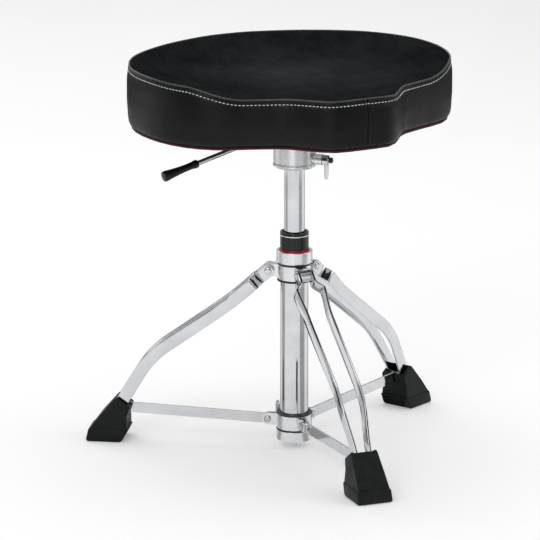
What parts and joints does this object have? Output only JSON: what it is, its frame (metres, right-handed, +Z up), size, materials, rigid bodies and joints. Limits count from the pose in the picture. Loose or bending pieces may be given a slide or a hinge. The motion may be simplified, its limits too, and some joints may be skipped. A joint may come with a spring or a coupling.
{
  "type": "drum throne",
  "caption": "Drum throne: padded saddle seat with a pile top on a gas spring with a release lever, over a folding tripod of double flat bars with rubber feet.",
  "frame": {"origin": "under the middle of the whole object, on the surface it stands on; the column's axis is at x 0, y 0.0384", "axes": "+Z up along the column, -Y towards the front leg, +X to the right leg's side; the seat's nose is turned 6.4 degrees from -Y towards +X"},
  "size_m": [0.5086, 0.4852, 0.5295],
  "materials": {
    "chrome": "polished",
    "satin_cast": "satin",
    "zinc_steel": "satin",
    "black_nylon": "matte",
    "gland_black": "semi-gloss",
    "silver_trim": "satin",
    "red_ring": "satin",
    "foot_rubber": "matte",
    "grip_rubber": "satin",
    "plywood": "matte",
    "underside_cloth": "woven",
    "seat_vinyl": "semi-gloss vinyl over foam"
  },
  "bodies": {
    "column": {"column_tube": "chrome", "column_end_cap": "zinc_steel", "bottom_collar": "satin_cast", "column_bushing": "black_nylon", "upper_collar": "satin_cast", "red_ring": "red_ring", "gland_nut": "gland_black", "gland_trim_ring": "silver_trim", "thrust_bearing": "zinc_steel", "upper_leg_bracket": "satin_cast", "leg_pivot_pin_front": "zinc_steel", "leg_pivot_pin_right": "zinc_steel", "leg_pivot_pin_left": "zinc_steel", "upper_bracket_washer_low": "black_nylon", "upper_bracket_washer_high": "black_nylon"},
    "bracket": {"lower_leg_bracket": "satin_cast", "stay_pivot_pin_front": "zinc_steel", "stay_pivot_pin_right": "zinc_steel", "stay_pivot_pin_left": "zinc_steel", "lower_bracket_washer_low": "black_nylon", "lower_bracket_washer_high": "black_nylon"},
    "bracket_bolt": {"bracket_clamp_bolt": "chrome"},
    "piston": {"piston_rod": "zinc_steel", "rod_clip": "zinc_steel"},
    "seat": {"gas_cylinder": "chrome", "seat_hub": "satin_cast", "lever_pin": "zinc_steel", "seat_plate": "zinc_steel", "underside_cover": "underside_cloth", "seat_board": "plywood", "seat_cushion": "seat_vinyl", "plate_bolt_1": "zinc_steel", "plate_bolt_2": "zinc_steel", "plate_bolt_3": "zinc_steel", "plate_bolt_4": "zinc_steel", "tee_nut_1": "zinc_steel", "tee_nut_2": "zinc_steel", "tee_nut_3": "zinc_steel", "tee_nut_4": "zinc_steel"},
    "valve": {"valve_pin": "zinc_steel"},
    "lever": {"release_lever": "chrome", "lever_grip": "grip_rubber"},
    "hub_bolt": {"hub_clamp_bolt": "chrome", "clamp_bolt_cap": "black_nylon"},
    "stay_front": {"stay_front": "chrome"},
    "leg_front": {"leg_bar_front_a": "chrome", "leg_bar_front_b": "chrome", "foot_front": "foot_rubber", "stay_end_pin_front": "zinc_steel"},
    "stay_right": {"stay_right": "chrome"},
    "leg_right": {"leg_bar_right_a": "chrome", "leg_bar_right_b": "chrome", "foot_right": "foot_rubber", "stay_end_pin_right": "zinc_steel"},
    "stay_left": {"stay_left": "chrome"},
    "leg_left": {"leg_bar_left_a": "chrome", "leg_bar_left_b": "chrome", "foot_left": "foot_rubber", "stay_end_pin_left": "zinc_steel"}
  },
  "joints": [
    {"name": "seat_swivel", "type": "hinge", "parent": "column", "child": "piston", "pos_m": [0, 0.03837, 0.0264], "axis": [0, 0, 1], "continuous": true},
    {"name": "seat_height", "type": "slide", "parent": "piston", "child": "seat", "axis": [0, 0, 1], "range_m": [-0.065, 0.065]},
    {"name": "release_lever_swing", "type": "hinge", "parent": "seat", "child": "lever", "pos_m": [-0.02137, 0.03597, 0.4352], "axis": [-0.1115, 0.9938, 0], "range_deg": [0, 8], "stiffness_Nm_per_rad": 1.2, "springref_deg": -8.59},
    {"name": "valve_travel", "type": "slide", "parent": "seat", "child": "valve", "axis": [0, 0, 1], "range_m": [-0.0037, 0]},
    {"name": "hub_clamp_turn", "type": "hinge", "parent": "seat", "child": "hub_bolt", "pos_m": [0.02991, 0.01181, 0.399], "axis": [0.7478, -0.6639, 0], "range_deg": [0, 270]},
    {"name": "bracket_slide", "type": "slide", "parent": "column", "child": "bracket", "axis": [0, 0, 1], "range_m": [0, 0.12485]},
    {"name": "bracket_clamp_turn", "type": "hinge", "parent": "bracket", "child": "bracket_bolt", "pos_m": [0, 0.06937, 0.03565], "axis": [-1, 0, 0], "range_deg": [0, 150]},
    {"name": "stay_swing_front", "type": "hinge", "parent": "bracket", "child": "stay_front", "pos_m": [0, 0.00267, 0.0367], "axis": [1, 0, 0], "range_deg": [0, 81.6]},
    {"name": "leg_swing_front", "type": "hinge", "parent": "stay_front", "child": "leg_front", "pos_m": [0, -0.20133, 0.045], "axis": [1, 0, 0], "range_deg": [-43.8, 0]},
    {"name": "stay_swing_right", "type": "hinge", "parent": "bracket", "child": "stay_right", "pos_m": [0.03092, 0.05622, 0.0367], "axis": [-0.5, 0.866, 0], "range_deg": [0, 81.6]},
    {"name": "leg_swing_right", "type": "hinge", "parent": "stay_right", "child": "leg_right", "pos_m": [0.20759, 0.15822, 0.045], "axis": [-0.5, 0.866, 0], "range_deg": [-43.8, 0]},
    {"name": "stay_swing_left", "type": "hinge", "parent": "bracket", "child": "stay_left", "pos_m": [-0.03092, 0.05622, 0.0367], "axis": [-0.5, -0.866, 0], "range_deg": [0, 81.6]},
    {"name": "leg_swing_left", "type": "hinge", "parent": "stay_left", "child": "leg_left", "pos_m": [-0.20759, 0.15822, 0.045], "axis": [-0.5, -0.866, 0], "range_deg": [-43.8, 0]}
  ],
  "couplings": [
    {"joint": "valve_travel", "follows": "release_lever_swing", "m_per_rad": -0.0258},
    {"joint": "stay_swing_front", "follows": "bracket_slide", "rad_per_m": 11.389},
    {"joint": "leg_swing_front", "follows": "bracket_slide", "rad_per_m": -6.1055},
    {"joint": "stay_swing_right", "follows": "bracket_slide", "rad_per_m": 11.389},
    {"joint": "leg_swing_right", "follows": "bracket_slide", "rad_per_m": -6.1055},
    {"joint": "stay_swing_left", "follows": "bracket_slide", "rad_per_m": 11.389},
    {"joint": "leg_swing_left", "follows": "bracket_slide", "rad_per_m": -6.1055}
  ]
}
